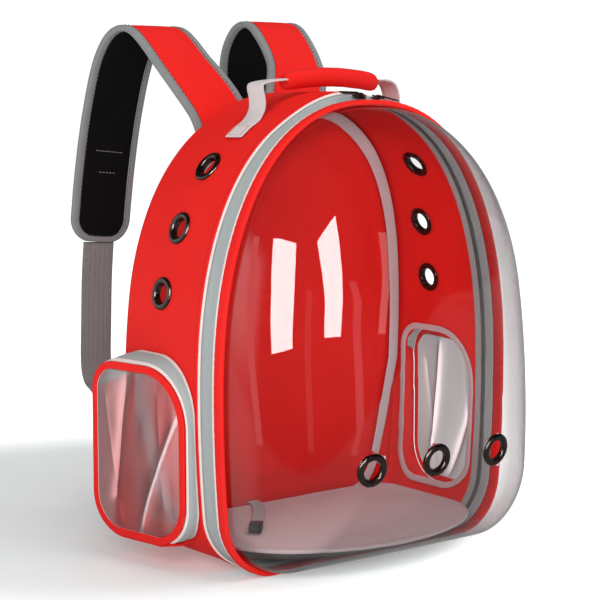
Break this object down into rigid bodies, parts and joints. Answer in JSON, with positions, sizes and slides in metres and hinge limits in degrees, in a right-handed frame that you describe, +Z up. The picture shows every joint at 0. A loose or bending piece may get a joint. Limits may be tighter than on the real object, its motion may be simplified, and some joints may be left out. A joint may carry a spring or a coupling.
{
  "type": "pet carrier backpack",
  "caption": "Arched red cloth backpack for carrying a small pet, with a clear front dome, zip, air eyelets, clear side pockets, top handle and padded shoulder straps.",
  "frame": {"origin": "under the middle of the whole form, on the surface that it stands on", "axes": "+Z up, -Y to the clear dome in front, +Y to the shoulder straps at the back, +X to the viewer's right"},
  "size_m": [0.4, 0.4188, 0.5037],
  "materials": {
    "red_cloth": "woven oxford cloth, dull",
    "grey_tape": "woven nylon tape",
    "pale_piping": "woven edge tape",
    "clear_film": "clear glossy PVC",
    "dark_metal": "gunmetal plating, glossy",
    "mat_cloth": "soft padded cloth",
    "black_plastic": "satin moulded"
  },
  "bodies": {
    "root": {"gusset": "red_cloth", "back_panel": "red_cloth", "seam_binding": "grey_tape", "zipper_tape": "grey_tape", "zipper_piping_front": "pale_piping", "zipper_piping_rear": "pale_piping", "zip_slider_left": "dark_metal", "zip_slider_right": "dark_metal", "rim_binding": "red_cloth", "dome": "clear_film", "dome_eyelet_left": "dark_metal", "dome_eyelet_centre": "dark_metal", "dome_eyelet_right": "dark_metal", "side_eyelet_left_top": "dark_metal", "side_eyelet_left_middle": "dark_metal", "side_eyelet_left_low": "dark_metal", "side_eyelet_right_top": "dark_metal", "side_eyelet_right_middle": "dark_metal", "side_eyelet_right_low": "dark_metal", "pocket_zipper_left": "grey_tape", "pocket_gusset_left": "red_cloth", "pocket_frame_left": "red_cloth", "pocket_film_left": "clear_film", "window_binding_left": "grey_tape", "pocket_zipper_right": "grey_tape", "pocket_gusset_right": "red_cloth", "pocket_frame_right": "red_cloth", "pocket_film_right": "clear_film", "window_binding_right": "grey_tape", "floor_mat": "mat_cloth", "tether_strap": "grey_tape", "tether_clip": "black_plastic", "handle_grip": "red_cloth", "handle_webbing_left": "grey_tape", "handle_webbing_right": "grey_tape", "strap_left": "red_cloth", "strap_webbing_left": "grey_tape", "strap_right": "red_cloth", "strap_webbing_right": "grey_tape"}
  },
  "joints": []
}
